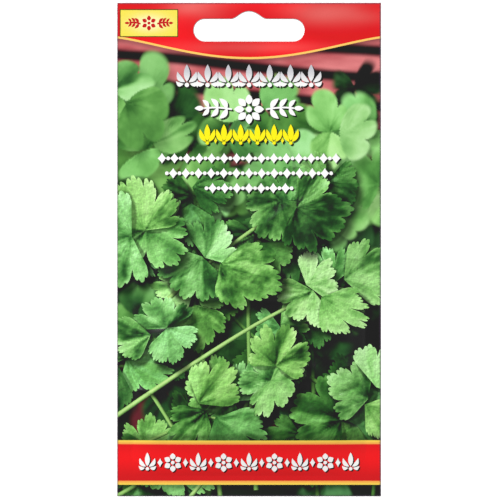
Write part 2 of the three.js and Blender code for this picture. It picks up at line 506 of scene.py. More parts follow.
# How much of a blurred blade, or of its soft shadow moved by a shift, lies over a point
def bladeCover(blade, blur, shift=(0.0, 0.0), strength=1.0):
    def cover(x, up):
        r, theta = bladePolar(blade, x - shift[0], up - shift[1])
        span = blade["span"]
        edge = bladeEdge(blade, np.clip(theta, -span, span), 1.0)
        edge = edge * (1 - smooth(span - 0.1, span + 0.45, np.abs(theta)))
        return strength * (1 - smooth(-blur, blur, r - edge))
    return cover

ribEvery = 0.25                        # direction between two ribs, in radians

# Where a point lies among a blade's ribs: turns of the pattern, one for each step of direction, and
# the distance from the base
def ribPlace(blade):
    def place(x, up):
        r, theta = bladePolar(blade, x, up)
        bent = theta + 0.22 * ripple(x + blade["sway"], up, 3.0)
        return bent / ribEvery, r + 0.9 * ripple(x, up + blade["sway"], 2.4)
    return place

# One blade's form: a fan is a wedge with a lobed end, the others are nearly round and cut in three
def growBlade(rng, base, turn, radius, tone, fan, lean):
    span = radians(rng.uniform(58, 76) if fan else rng.uniform(96, 118))
    lobes = int(rng.integers(6, 9) if fan else rng.integers(8, 11))
    deep = rng.uniform(0.10, 0.34, 2) if fan else rng.uniform(0.26, 0.46, 2)
    cuts = [(round(lobes * 0.34), deep[0], 0.32), (round(lobes * 0.66), deep[1], 0.32)]
    if not fan:
        cuts += [(lobe, rng.uniform(0.08, 0.22), 0.25) for lobe in (1, lobes - 1)]
    return {
        "base": base, "turn": turn, "radius": radius, "tone": tone, "lean": lean,
        "span": span, "lobes": lobes, "teeth": 3, "cuts": cuts,
        "bend": rng.uniform(-0.25, 0.25), "sides": rng.uniform(0.5, 0.7),
        "lobeDepth": rng.uniform(0.07, 0.13), "toothDepth": rng.uniform(0.055, 0.085),
        "uneven": rng.uniform(0.5, 1.5, lobes + 1), "long": rng.normal(0, 0.05, lobes + 1),
        "ribs": rng.choice([2, 3, 4]), "pucker": rng.uniform(0.14, 0.36),
        "fold": rng.uniform(-0.25, 0.4), "curl": rng.uniform(-0.35, 0.85),
        "tilt": rng.uniform(-0.42, 0.42, 2), "crinkle": rng.uniform(0.12, 0.30),
        "pleats": rng.uniform(0.3, 0.6), "sheen": rng.uniform(0.0, 0.95) ** 1.5,
        "tint": np.array((rng.uniform(0.86, 1.04), 1.0, rng.uniform(0.90, 1.18))),
        "sway": rng.uniform(0, 50),    # moves the blade's own noise
    }

# Three blades on one stalk: two to the sides, set back a little, and one ahead. The leaf leans away
# from the eye, so it is narrower in one direction.
def growLeaf(rng, base, turn, radius, tone):
    fan = rng.random() < 0.75
    narrow, away = rng.uniform(0.55, 1.0), rng.uniform(0, 2 * pi)

    def lean(angle):
        along = cos(angle - away) ** 2
        return 1 - (1 - narrow) * along, 1 - (1 - narrow) * (1 - along)

    blades = []
    for side in (1, -1):
        angle = turn + side * radians(rng.uniform(72, 100) if fan else rng.uniform(84, 112))
        back = rng.uniform(0.16, 0.34) * radius
        place = (base[0] - back * cos(turn), base[1] - back * sin(turn))
        size, light = radius * rng.uniform(0.72, 0.95), tone * rng.uniform(0.82, 1.04)
        blades.append(growBlade(rng, place, angle, size, light, fan, lean(angle)))
    ahead, light = turn + rng.uniform(-0.2, 0.2), tone * rng.uniform(0.94, 1.06)
    blades.append(growBlade(rng, base, ahead, radius, light, fan, lean(turn)))
    return blades

# A stalk from a leaf's base, first back along the leaf and then down out of the picture
def growStem(rng, base, turn, tone):
    down, length = rng.uniform(-1.15, 1.15), rng.uniform(60, 100)
    bend = (base[0] - 12 * cos(turn), base[1] - 12 * sin(turn) - 6)
    foot = (base[0] + length * sin(down), base[1] - length * cos(down))
    return {"points": np.array([foot, bend, base], float), "widths": (1.5, 0.8), "tone": tone}

# A quadratic curve through the stem's three points, its sideways direction and half width
def stemCurve(stem, count):
    t = np.linspace(0, 1, count)[:, None]
    a, b, c = stem["points"]
    line = (1 - t) ** 2 * a + 2 * t * (1 - t) * b + t * t * c
    way = (1 - t) * (b - a) + t * (c - b)
    return line, leftOf(unit(way)), np.interp(t[:, 0], [0, 1], stem["widths"]) / 2

def stemLine(stem):
    line, side, half = stemCurve(stem, 28)
    return np.concatenate([line + side * half[:, None], (line - side * half[:, None])[::-1]])

# A round stalk lit from above left: palest a third of the way to the lit side
def stemColour(stem):
    line, side, half = stemCurve(stem, 60)

    def colour(x, up):
        near = ((x[:, None] - line[:, 0]) ** 2 + (up[:, None] - line[:, 1]) ** 2).argmin(1)
        across = ((x - line[near, 0]) * side[near, 0] + (up - line[near, 1]) * side[near, 1]) / half[near]
        lit = np.sign(side[near] @ sun[:2])
        shade = stem["tone"] * (1.05 - 0.6 * np.abs(across * lit - 0.35) ** 1.6)
        return leafGreen(shade + 0.08 * (cloud(x, up, 2.0) - 0.5)) * (1.12, 1.0, 0.94)
    return colour

foliage = {
    "seed": 7,
    "shadow": linear(6, 8, 12),
    "stems": 0.5,                      # share of the sharp leaves whose stalk is drawn
    "blur": 0.7,                       # how far the blurred leaves lose their form
    # count, tone, radius, lowest and highest place, blur
    "blurred": [
        (20, 0.34, (12, 17), 0, 118, 1.8), (14, 0.74, (12, 18), 50, 116, 1.1),
        (9, 1.0, (12, 18), 78, 113, 0.7),
    ],
    # count, tone, radius, lowest and highest place, where the walk across starts
    "sharp": [
        (11, 0.47, (12, 17), 4, 90, 0.06), (10, 0.76, (13, 18), 8, 92, 0.19),
        (8, 0.94, (15, 20), 16, 88, 0.32),
    ],
}

# Places over the picture: even steps upwards, golden-ratio steps across, each a little moved
def scatter(rng, count, low, high, start, width):
    for k in range(count):
        x = ((k * 0.6180339887 + start) % 1 - 0.5) * width + rng.uniform(-4, 4)
        yield x, low + (high - low) * (k + 0.5) / count + rng.uniform(-2.5, 2.5)

# Blurred leaves far behind, then three layers of sharp ones, each over its own soft shadows
def leafMarks():
    rng = np.random.default_rng(foliage["seed"])
    marks, dark = [], plain(foliage["shadow"])

    def shadow(blade, shift, blur, strength):
        place, reach = np.add(blade["base"], shift), blade["radius"] * 1.3 + 2 * blur
        marks.append(softMark(place, reach, dark, bladeCover(blade, blur, shift, strength)))

    for count, tone, size, low, high, blur in foliage["blurred"]:
        for place in scatter(rng, count, low, high, 0.13, 84):
            leafTone = tone * rng.uniform(0.7, 1.15)
            for blade in growLeaf(rng, place, rng.uniform(0, 2 * pi), rng.uniform(*size), leafTone):
                shadow(blade, (1.5, -2.2), 3.0, 0.4)
                ink = partial(bladeColour, blade, soft=foliage["blur"])
                reach = blade["radius"] * 1.5 + 2 * blur
                marks.append(softMark(blade["base"], reach, ink, bladeCover(blade, blur)))
    for count, tone, size, low, high, start in foliage["sharp"]:
        stems, leaves = [], []
        for place in scatter(rng, count, low, high, start, 76):
            turn, radius = rng.uniform(0, 2 * pi), rng.uniform(*size)
            leafTone = tone * rng.uniform(0.86, 1.07)
            stem = growStem(rng, place, turn, leafTone)
            if rng.random() < foliage["stems"]:
                stems.append(stem)
            leaves.append(growLeaf(rng, place, turn, radius, leafTone))
        marks += [crispMark(stemLine(stem), stemColour(stem)) for stem in stems]
        for blades in leaves:
            for blade in blades:
                shadow(blade, (1.6, -2.2), 1.6, 0.8)
            for blade in blades:
                shadow(blade, (0.4, -0.5), 0.45, 0.6)
                marks.append(crispMark(bladeLine(blade), partial(bladeColour, blade), ribs=ribPlace(blade)))
    return marks

# What lies behind the leaves: near-black violet and green shade, and blurred warm red boards in the
# upper part and here and there below
def pictureGround(x, up):
    deep = mixInk(linear(22, 16, 28), linear(22, 44, 20), cloud(x, up, 16.0))
    dusk = 0.85 * smooth(0.42, 0.64, noise(x + 12, up + 40, 15.0))
    deep = mixInk(deep, linear(104, 34, 44), dusk)
    along = up + 0.10 * x + 1.5 * noise(x, up, 20.0)
    board = smooth(0.10, 0.30, np.abs(along / 8.0 % 1 - 0.5))
    warm = mixInk(linear(160, 48, 58), linear(246, 150, 150), cloud(x * 0.35, up, 4.0))
    boards = mixInk(linear(30, 12, 22), warm, board)
    return mixInk(deep, boards, smooth(92, 104, up))

# Ornaments

# A slim leaf shape: a sine wide along a bowed line from start to end
def petal(start, end, width, bow=0.0):
    start, end = np.array(start, float), np.array(end, float)
    t = np.linspace(0, 1, 9)
    side = leftOf(unit(end - start))
    spine = start + (end - start) * t[:, None] + side * (4 * bow * t * (1 - t))[:, None]
    half = (width / 2 * np.sin(pi * t) ** 0.8 * (1.15 - 0.3 * t))[:, None]
    return np.concatenate([spine + side * half, (spine - side * half)[-2:0:-1]])

def disc(centre, radius, count=16):
    turn = np.linspace(0, 2 * pi, count, endpoint=False)
    return np.array(centre) + radius * np.stack([np.cos(turn), np.sin(turn)], 1)

# Four corners with sides that bow in by a sine
def lozenge(centre, width, height, hollow=0.05):
    t = np.linspace(0, 1, 6)[:-1, None]
    corners = np.array([(width / 2, 0), (0, height / 2), (-width / 2, 0), (0, -height / 2)])
    pairs = zip(corners, np.roll(corners, -1, 0))
    sides = [a + (b - a) * t - (a + b) * hollow * np.sin(pi * t) for a, b in pairs]
    return np.array(centre) + np.concatenate(sides)

# A band of even width along a line of points
def stroke(points, width):
    points = np.array(points, float)
    side = leftOf(unit(np.gradient(points, axis=0))) * width / 2
    return np.concatenate([points + side, (points - side)[::-1]])

# Two petals that spread from a root, to the left and to the right
def pair(root, reach, width, bow):
    return [petal(root, root + (side * reach[0], reach[1]), width, bow * side) for side in (-1, 1)]

# Five petals fanned out from one foot, the middle one longest, over a dot
def palmette(foot, height):
    foot = np.array(foot, float)
    shapes = []
    for lean, share, width in ((1.25, 0.56, 0.20), (0.62, 0.80, 0.24), (0, 1, 0.30)):
        for away in (-lean, lean) if lean else (0,):
            way = np.array((sin(away), cos(away)))
            start, end, bow = foot + 0.16 * height * way, foot + share * height * way, -0.10 * height
            shapes.append(petal(start, end, width * height, bow * np.sign(away)))
    return shapes + [disc(foot, 0.11 * height, 12)]

# Petals round a round middle
def flower(centre, radius, count, width):
    turns = 2 * pi * np.arange(count) / count + pi / 2
    ways = np.stack([np.cos(turns), np.sin(turns)], 1)
    petals = [petal(centre + 0.32 * radius * way, centre + radius * way, width) for way in ways]
    return petals + [disc(centre, 0.2 * radius)]

# A spray to one side: pairs of petals that lean outwards along a bowed stroke
def spray(start, side, length, count, size, rise=0.0):
    def along(share):
        return np.stack([start[0] + side * length * share, start[1] + rise * np.sin(pi * share * 0.8)], -1)

    shapes = [stroke(along(np.linspace(0, 1, 21)), 0.5)]
    for k in range(count):
        share = (k + 0.5) / count
        root, reach = along(share), size * (1 - 0.3 * share)
        for lift in (0.9, -0.9):
            end = root + (side * reach * cos(lift), reach * sin(lift))
            shapes.append(petal(root, end, 0.42 * reach, 0.10 * reach * side * np.sign(lift)))
    return shapes + [petal(along(1), along(1) + (side * size * 0.7, 0), 0.36 * size)]

# A flower between two sprays
def garland(centre, radius, petals, width, gap, length, pairs, size, rise, drop=0.0):
    shapes = flower(np.array(centre), radius, petals, width)
    for side in (1, -1):
        shapes += spray(np.add(centre, (side * gap, -drop)), side, length, pairs, size, rise)
    return shapes

ornament = {
    "white": linear(252, 252, 250), "silver": linear(196, 196, 202), "yellow": linear(252, 240, 30),
    "shadow": linear(6, 8, 8), "cover": 0.88,
}

# Shapes with a crisp dark shadow down to the right, all shadows first
def raised(shapes, colour, drop):
    shadow = plain(ornament["shadow"])
    moves = [np.array((drop, -drop)) * part for part in (0.5, 1.0)]
    shadows = [crispMark(line + move, shadow, ornament["cover"]) for line in shapes for move in moves]
    return shadows + [crispMark(line, colour) for line in shapes]

frieze = {
    "silver": {"each": 3, "step": 5.95, "foot": 118.3, "height": 5.9},
    "garland": (0, 111.3),
    "tulips": {"count": 6, "step": 4.8, "foot": 101.7},
    "rules": ((97.2, 25.0), (92.9, 23.6), (88.6, 12.2)),   # height and half length
    "drop": 0.5,
}

# A silver row of palmettes, a white flower between sprays, a yellow row of tulips and three rows of
# white lozenges and dots
def friezeMarks():
    def silver(x, up):
        return mixInk(ornament["white"], ornament["silver"], smooth(117.6, 123.5, up))

    def tulip(foot):
        shapes = [petal(foot + (0, 0.5), foot + (0, 5.3), 1.7)]
        for side in (1, -1):
            shapes.append(petal(foot + (side * 0.35, 0.2), foot + (side * 2.1, 3.9), 1.35, -0.35 * side))
        return shapes + [disc(foot - (0, 0.1), 0.5, 12)]

    white, drop = plain(ornament["white"]), frieze["drop"]
    row = frieze["silver"]
    ends, step, shapes = row["each"], row["step"], []
    for k in range(-ends, ends + 1):
        shapes += palmette((k * step, row["foot"]), row["height"])
    shapes += [lozenge((k * step + 2.97, row["foot"] + 0.3), 1.3, 2.2) for k in range(-ends, ends)]
    marks = raised(shapes, silver, drop)
    sprays = dict(gap=4.9, length=8.0, pairs=3, size=3.9, rise=0.5)
    marks += raised(garland(frieze["garland"], 4.3, petals=8, width=2.0, **sprays), white, drop)
    row = frieze["tulips"]
    count, step = row["count"], row["step"]
    feet = [np.array(((k - (count - 1) / 2) * step, row["foot"])) for k in range(count)]
    shapes = [shape for foot in feet for shape in tulip(foot)]
    shapes += [lozenge(foot + (step / 2, 0.6), 1.0, 1.9) for foot in feet[:-1]]
    marks += raised(shapes, plain(ornament["yellow"]), drop)
    shapes = []
    for up, half in frieze["rules"]:
        count = int(half / 1.7)
        for k in range(-count, count + 1):
            centre = (k * half / count, up)
            shapes.append(disc(centre, 0.55, 10) if k % 2 else lozenge(centre, 2.5, 3.0))
    return marks + raised(shapes, white, 0.42)

header = {
    "depth": 15.7,                     # at the middle
    "sideDepth": 9.6,                  # at the edges
    "rule": 0.62,
    "red": linear(244, 26, 36),
    "bright": linear(255, 128, 122),
    "yellow": linear(250, 202, 104),
    # strength, place and reach of each lighter glow
    "glows": ((1.0, 24, 139, 12, 3.2), (0.7, -16, 141, 9, 3.5), (0.35, -2, 129, 24, 1.8)),
}

# The red header with its bowed lower edge and yellow rule, and the small plate in its corner
def headerMarks():
    x = np.linspace(-bleedX, bleedX, 61)

    def lower(extra):
        bow = (header["depth"] - header["sideDepth"]) * np.cos(x / bleedX * pi / 2) ** 1.3
        return packet["height"] - header["sideDepth"] - bow - extra

    def field(extra):
        top = np.array([(bleedX, packet["height"] + 1), (-bleedX, packet["height"] + 1)])
        return np.concatenate([np.stack([x, lower(extra)], 1), top])

    # soft lighter glows: three bells, each a product of exp(-d^2) across and up
    def red(px, up):
        bells = [strength * np.exp(-((px - cx) / rx) ** 2 - ((up - cu) / ru) ** 2)
                 for strength, cx, cu, rx, ru in header["glows"]]
        glow = np.clip(sum(bells) * (0.4 + 0.7 * noise(px, up * 2.5, 9.0)), 0, 0.75)
        deep = 1 - 0.22 * smooth(0.35, 0.75, noise(px + 21, up * 2, 16.0))[:, None]
        return mixInk(header["red"], header["bright"], glow) * deep

    def under(px, up):
        return 0.5 * (1 - smooth(0, 1.8, np.interp(px, x, lower(header["rule"])) - up))

    return [
        softMark((0, 130), 60, plain(linear(24, 10, 14)), under),
        crispMark(field(header["rule"]), plain(header["yellow"])),
        crispMark(field(0), red),
    ] + plateMarks()

# A box as a line, grown all round
def boxLine(left, low, width, height, grow=0.0):
    right, top = left + width + grow, low + height + grow
    return np.array([(left - grow, low - grow), (right, low - grow), (right, top), (left - grow, top)])

plate = {
    "left": -36.9, "low": 132.3, "width": 16.3, "height": 7.5, "line": 0.26,
    "yellow": linear(244, 226, 84), "pale": linear(252, 248, 198),
    "dark": linear(78, 66, 12), "red": linear(196, 22, 34),
}

# A small yellow plate, pale in the middle, with a thin dark line and a sprig in dark red
def plateMarks():
    box = [plate[key] for key in ("left", "low", "width", "height")]
    middle = np.array((box[0] + box[2] / 2, box[1] + box[3] / 2))

    def fill(px, up):
        away = ((px - middle[0]) / box[2]) ** 2 + ((up - middle[1]) / box[3]) ** 2
        return mixInk(plate["yellow"], plate["pale"], np.exp(-away / 0.09))

    marks = inked([boxLine(*box, plate["line"])], plate["dark"]) + [crispMark(boxLine(*box), fill)]
    sprays = dict(gap=2.4, drop=0.2, length=3.2, pairs=3, size=2.0, rise=0.4)
    return marks + inked(garland(middle, 2.2, petals=6, width=1.15, **sprays), plate["red"])

band = {
    "low": 3.4, "height": 12.8, "border": 1.15,
    "red": linear(244, 24, 34), "dark": linear(212, 22, 34),
    "yellow": linear(250, 218, 88), "amber": linear(244, 162, 78),
    "step": 7.3, "each": 4,            # of the row of ornaments, and how many to each side
}

# A straight red band with yellow borders over the foot of the picture, with a white row
def bandMarks():
    low, high, border = band["low"], band["low"] + band["height"], band["border"]
    middle, step, ends = (low + high) / 2, band["step"], band["each"]

    def yellow(px, up):
        inner = np.where(up < middle, up - low - border / 2, high - border / 2 - up)
        return mixInk(band["yellow"], band["amber"], smooth(-0.6, 0.6, inner))

    def red(px, up):
        turn = (up - low) / band["height"] - 0.62
        return mixInk(band["dark"], band["red"], 0.5 + 0.5 * np.cos(turn * 2 * pi))

    def under(px, up):
        return 0.6 * (1 - smooth(0, 2.2, np.maximum(low - up, up - high - 0.6)))

    marks = [
        softMark((0, low), bleedX + 4, plain(linear(8, 12, 8)), under),
        crispMark(boxLine(-bleedX, low, 2 * bleedX, high - low), yellow),
        crispMark(boxLine(-bleedX, low + border, 2 * bleedX, high - low - 2 * border), red),
    ]
    row = []
    for k in range(-ends, ends + 1):
        place = np.array((k * step, middle))
        row += flower(place, 2.7, 6, 1.6) if k % 2 else palmette(place - (0, 1.8), 4.7)
        if k < ends:
            row.append(lozenge(place + (step / 2, 0), 1.5, 2.6))
    return marks + raised(row, plain(ornament["white"]), 0.36)

# The back: pale sheet, the header and band again, a frame with plain panels and a calendar of squares

back = {
    "cream": linear(250, 247, 232), "panel": linear(255, 253, 240), "green": linear(88, 156, 66),
    "pale": linear(226, 240, 208), "leaf": linear(198, 222, 166), "line": linear(60, 110, 50),
    "yellow": linear(250, 214, 70), "red": linear(226, 34, 42), "rule": linear(196, 214, 182),
    "soil": linear(120, 82, 48), "seed": linear(176, 130, 76), "water": linear(86, 168, 214),
    # place and direction of each pale leaf
    "leaves": [(-22, 30, 60), (24, 50, 150), (6, 20, 100), (-28, 92, 20), (26, 112, 200), (30, 24, 120)],
    "topBand": 15.0, "footBand": 6.0,  # red, each with a yellow rule
    "month": (9.0, 8.0), "monthStep": 10.6, "monthRows": (103.0, 93.4), "monthLine": 0.35,
    "sown": range(3, 8),               # the months that are filled
    "frame": (-31.6, 62.0, 31.6, 88.0), "frameLine": 0.4,
    # the four pictures' round grounds: the first one's place, the step to the next, and the radius
    "picture": (-23.4, 75.0), "pictureStep": 15.6, "pictureRadius": 6.4,
    "rules": 9, "ruleTop": 52.0, "ruleStep": 4.2,
}

# A box with round corners
def rounded(x0, u0, x1, u1, r=0.8):
    turn = np.linspace(0, pi / 2, 6)
    arc = np.stack([np.cos(turn), np.sin(turn)], 1) * r
    x0, u0, x1, u1 = x0 + r, u0 + r, x1 - r, u1 - r
    corners = [(x1, u1, 1, 0), (x0, u1, 0, 1), (x0, u0, -1, 0), (x1, u0, 0, -1)]
    return np.concatenate([(x, u) + arc @ np.array([(c, s), (-s, c)]) for x, u, c, s in corners])

def backGround(x, up):
    return back["cream"] * (0.97 + 0.03 * cloud(x, up, 30.0)[:, None])

# Drawn as seen from behind, then mirrored, because x runs the other way there
def backMarks():
    rng = np.random.default_rng(21)
    marks = []

    def draw(colour, *shapes):
        marks.extend(inked(shapes, back[colour]))

    def faint(blade, x, up):
        share = np.clip(0.85 - 0.9 * bladeColour(blade, x, up)[:, 1], 0.15, 0.85)
        return mixInk(back["cream"], back["leaf"], share)

    # a round pale ground for one of four plain pictures
    def ground(k):
        centre = np.add(back["picture"], (back["pictureStep"] * k, 0))
        draw("pale", disc(centre, back["pictureRadius"], 40))
        return centre

    for x, up, turn in back["leaves"]:
        for blade in growLeaf(rng, (x, up), radians(turn), rng.uniform(13, 17), 0.8):
            marks.append(crispMark(bladeLine(blade), partial(faint, blade), ribs=ribPlace(blade)))
    top, foot = packet["height"] - back["topBand"], back["footBand"]
    for colour, low, high in (("red", top, packet["height"] + 1), ("yellow", top - 1, top),
                              ("red", -1, foot), ("yellow", foot, foot + 1)):
        draw(colour, rounded(-bleedX, low, bleedX, high, 0.4))
    row = garland((0, 119.0), 3.4, petals=8, width=1.6, gap=4.2, length=14.0, pairs=5, size=3.2, rise=0.5)
    draw("green", *row)
    # twelve month squares in two rows, with a sprout where it is time to sow
    (wide, tall), line = back["month"], back["monthLine"]
    for k in range(12):
        x, u = -31.0 + k % 6 * back["monthStep"], back["monthRows"][k // 6]
        draw("line", rounded(x, u, x + wide, u + tall))
        fill = "green" if k in back["sown"] else "cream"
        draw(fill, rounded(x + line, u + line, x + wide - line, u + tall - line, 0.6))
        if k in back["sown"]:
            centre = np.array((x + 4.5, u + 2.0))
            draw("cream", *pair(centre, (2.6, 3.2), 1.6, -0.5))
            draw("cream", stroke([centre - (0, 1.2), centre, centre + (0, 1.0)], 0.45))
    # a panel with four plain pictures: seeds in a row, a sprout, the sun, a drop
    (x0, u0, x1, u1), line = back["frame"], back["frameLine"]
    draw("line", rounded(x0, u0, x1, u1, 2.2))
    draw("panel", rounded(x0 + line, u0 + line, x1 - line, u1 - line, 1.9))
    centre = ground(0)
    draw("soil", stroke([centre + (dx, -1.4) for dx in (-5, 0, 5)], 0.6))
    draw("seed", *(disc(centre + (dx, -3.0), 0.95, 14) for dx in (-3.4, 0, 3.4)))
    centre = ground(1)
    draw("green", stroke([centre + (0, -4.6), centre + (0.3, -1), centre + (0, 1.5)], 0.7))
    draw("green", *pair(centre + (0, 0.8), (4.0, 3.2), 2.4, -0.8))
    centre = ground(2)
    rays = [np.array((cos(turn), sin(turn))) for turn in np.arange(10) * 2 * pi / 10]
    draw("yellow", disc(centre, 2.3, 28))
    draw("yellow", *(petal(centre + 2.9 * way, centre + 4.9 * way, 0.9) for way in rays))
    centre = ground(3)
    turn = np.linspace(0, 2 * pi, 36, endpoint=False)
    drop = np.stack([2.9 * np.sin(turn) * (1 - np.cos(turn)) / 1.3, 4.0 * np.cos(turn)], 1)
    draw("water", centre + drop + (0, 0.2))
    # soft rules in two columns, where a packet carries its notes, every third row shorter
    for row in range(back["rules"]):
        u, short = back["ruleTop"] - back["ruleStep"] * row, 0.0 if row % 3 else 5.5
        draw("rule", *(rounded(x0, u, x1 - short, u + 0.9, 0.4) for x0, x1 in ((-31.0, -2.5), (2.5, 31.0))))
    for mark in marks:
        mark["line"] = mark["line"][::-1] * (-1, 1)
        mark["low"], mark["high"] = mark["line"].min(0), mark["line"].max(0)
    return marks

# Sheets

# A smooth mesh at the origin, from points in metres and faces
def newPiece(name, points, faces):
    mesh = bpy.data.meshes.new(name)
    mesh.from_pydata(points, [], faces)
    mesh.polygons.foreach_set("use_smooth", np.ones(len(faces), bool))
    piece = bpy.data.objects.new(name, mesh)
    bpy.context.scene.collection.objects.link(piece)
    return piece

# The open edges of a triangle mesh as closed runs of points, in the triangles' own direction
def boundaryLoops(triangles, count):
    edges = np.concatenate([triangles[:, [k, (k + 1) % 3]] for k in range(3)]).astype(np.int64)
    lone = ~np.isin(edges @ (count, 1), edges @ (1, count))
    ahead = dict(edges[lone].tolist())
    loops = []
    while ahead:
        first, at = ahead.popitem()
        loop = [first]
        while at != first:
            loop.append(at)
            at = ahead.pop(at)
        loops.append(np.array(loop))
    return loops

# A closed thin sheet: the printed outer face, a crushed edge round it and round the slot, the cut
# edge, and the plain inner face. side is -1 for the front and 1 for the back.
def makeSheet(name, side, marks, ground, spacing):
    height, bevel = packet["height"], paper["bevel"]
    # the mesh also follows the inner edges of the seals
    starts, ends = visibleEdges(marks)
    low, high = packet["bottomSeal"], height - bevel
    starts = np.concatenate([starts, [(-sealX, bevel), (sealX, bevel), (-sealX, low)]])
    ends = np.concatenate([ends, [(-sealX, high), (sealX, high), (sealX, low)]])
    loops = [rim(packetLine(), bevel), rim(slotLine(), -bevel)]
    places, triangles = triangulate(loops, starts, ends, spacing)
    colour, ribs = paint(marks, places, triangles, ground)
    # the print is darkened towards the rim colour near the packet's outer edge: partly crushed ink at the
    # cut, partly painted shade along the edge
    edgeAway = np.minimum(halfWidth - np.abs(places[:, 0]), np.minimum(places[:, 1], height - places[:, 1]))
    crushedAndShaded = paper["edgeShade"] * (1 - smooth(bevel, bevel + paper["edgeFade"], edgeAway))
    colour = mix(colour, paper["edgeInkAndShade"], crushedAndShaded[triangles][..., None])
    colour = np.clip(colour - paper["glossLift"], 0, 1)

    # strips: from the print's open edge to the sheet's true edge, then down to the inner face
    points, faces = [surface(*places.T, side, 0)], [triangles]
    normals = [facing(*places.T, side, 0)[triangles]]
    edgePlaces, edgeIndex, total = [], [], len(places)
    for loop in boundaryLoops(triangles, len(places)):
        line, count = places[loop], len(loop)
        outer = np.clip(rim(line, -bevel), (-halfWidth, 0), (halfWidth, height))
        away = np.insert(unit(outer - line), 1, 0, axis=1)
        slanted = (away + facing(*outer.T, side, 0)) / sqrt(2)
        points += [surface(*outer.T, side, paper["bevelDepth"]), surface(*outer.T, side, 1.0)]
        rings = [loop, total + np.arange(count), total + count + np.arange(count)]
        total += 2 * count
        for a, b, way in ((rings[0], rings[1], slanted), (rings[1], rings[2], away)):
            c, d, onward = np.roll(a, -1), np.roll(b, -1), np.roll(way, -1, 0)
            faces += [np.stack([a, b, d], 1), np.stack([a, d, c], 1)]
            normals += [np.stack([way, way, onward], 1), np.stack([way, onward, onward], 1)]
        edgePlaces.append(outer)
        edgeIndex.append(rings[2])
    stripCount = sum(map(len, faces)) - len(triangles)

    # the inner face shares the strips' last points
    known, knownIndex = np.concatenate(edgePlaces), np.concatenate(edgeIndex)
    edgePlaces.sort(key=lambda line: -np.ptp(line[:, 1]))
    none = np.zeros((0, 2))
    plainPlaces, plainTriangles = triangulate(edgePlaces, none, none, paper["innerSpacing"])
    apart = np.linalg.norm(plainPlaces[:, None] - known[None], axis=2)
    fresh = apart.min(1) > 0.002
    index = knownIndex[apart.argmin(1)]
    index[fresh] = total + np.arange(fresh.sum())
    points.append(surface(*plainPlaces[fresh].T, side, 1.0))
    faces.append(index[plainTriangles][:, ::-1])
    normals.append(-facing(*plainPlaces.T, side, 1.0)[plainTriangles][:, ::-1])

    points, faces, normals = np.concatenate(points), np.concatenate(faces), np.concatenate(normals)
    if side > 0:
        faces, normals = faces[:, ::-1], normals[:, ::-1]
        colour, ribs = colour[:, ::-1], ribs[:, ::-1]
    piece = newPiece(name, points, faces.tolist())
    mesh, printed = piece.data, len(triangles) * 3
    slots = np.repeat([0, 1, 2], [len(triangles), stripCount, len(plainTriangles)])
    mesh.polygons.foreach_set("material_index", slots)
    rgba = np.ones((len(faces) * 3, 4), np.float32)
    rgba[:printed, :3] = colour.reshape(-1, 3)
    mesh.attributes.new("ink", "FLOAT_COLOR", "CORNER").data.foreach_set("color", rgba.ravel())
    ribPlaces = np.tile(np.float32(offLeaf), (len(faces) * 3, 1))
    ribPlaces[:printed] = ribs.reshape(-1, 2)
    mesh.uv_layers.new(name="ribs").uv.foreach_set("vector", ribPlaces.ravel())
    layout = bakeLayout(points, faces, len(triangles), stripCount).astype(np.float32)
    mesh.uv_layers.new(name="OFBake").uv.foreach_set("vector", layout.ravel())
    mesh.normals_split_custom_set(normals.reshape(-1, 3).tolist())
    mesh.update()
    print(name, len(faces), "triangles,", len(triangles), "of them printed")
    return piece

# A flat layout of the whole sheet: the print over most of the square, the cut edges and the inner
# face in narrow strips beside it
def bakeLayout(points, faces, printed, stripCount):
    flat = points[faces.ravel()][:, [0, 2]] / mm - (-halfWidth, packet["bottom"])
    flat = flat / (packet["width"], packet["height"]) * 0.996 + 0.002
    layout = flat * (0.93, 1.0)
    layout[printed * 3:] = flat[printed * 3:] * (0.03, 1.0) + (0.965, 0.0)
    corner = np.tile([0, 1, 2], stripCount)
    share = np.repeat(np.arange(stripCount), 3) / stripCount
    strip = slice(printed * 3, (printed + stripCount) * 3)
    layout[strip, 0] = 0.938 + 0.01 * (corner > 0) + 0.004 * (corner > 1)
    layout[strip, 1] = 0.002 + 0.996 * share + 0.0008 * (corner == 2)
    return layout

# Materials

def node(tree, kind, **inputs):
    made = tree.nodes.new(kind)
    for name, value in inputs.items():
        made.inputs[name].default_value = value
    return made

def newMaterial(name, roughness):
    material = bpy.data.materials.new(name)
    material.use_nodes = True
    shader = material.node_tree.nodes["Principled BSDF"]
    shader.inputs["Roughness"].default_value = roughness
    return material, material.node_tree, shader

# Works out values from left to right, with one Math node for each step, and gives the last output
def calc(tree, operation, value, *others, clamp=False):
    for other in others or (None,):
        made = tree.nodes.new("ShaderNodeMath")
        made.operation, made.use_clamp = operation, clamp
        for socket, given in zip(made.inputs, (value, other)):
            if hasattr(given, "links"):
                tree.links.new(given, socket)
            elif given is not None:
                socket.default_value = given
        value = made.outputs[0]
    return value

# Noise over the object's own coordinates, moved by a shift in noise cells
def scaledNoise(tree, scale, detail, shift=(0, 0, 0)):
    coord = tree.nodes.new("ShaderNodeTexCoord")
    mapping = node(tree, "ShaderNodeMapping", Location=shift, Scale=(scale, scale, scale))
    made = node(tree, "ShaderNodeTexNoise", Scale=1.0, Detail=detail)
    tree.links.new(coord.outputs["Object"], mapping.inputs["Vector"])
    tree.links.new(mapping.outputs["Vector"], made.inputs["Vector"])
    return made.outputs["Fac"]

# A named attribute of the mesh
def attribute(tree, name, output):
    made = tree.nodes.new("ShaderNodeAttribute")
    made.attribute_name = name
    return made.outputs[output]

# Colours a surface from dark to light by a value
def shadeBy(tree, shader, value, dark, light):
    ramp = tree.nodes.new("ShaderNodeValToRGB")
    for element, colour in zip(ramp.color_ramp.elements, (dark, light)):
        element.color = (*colour, 1)
    tree.links.new(value, ramp.inputs["Fac"])
    tree.links.new(ramp.outputs["Color"], shader.inputs["Base Color"])

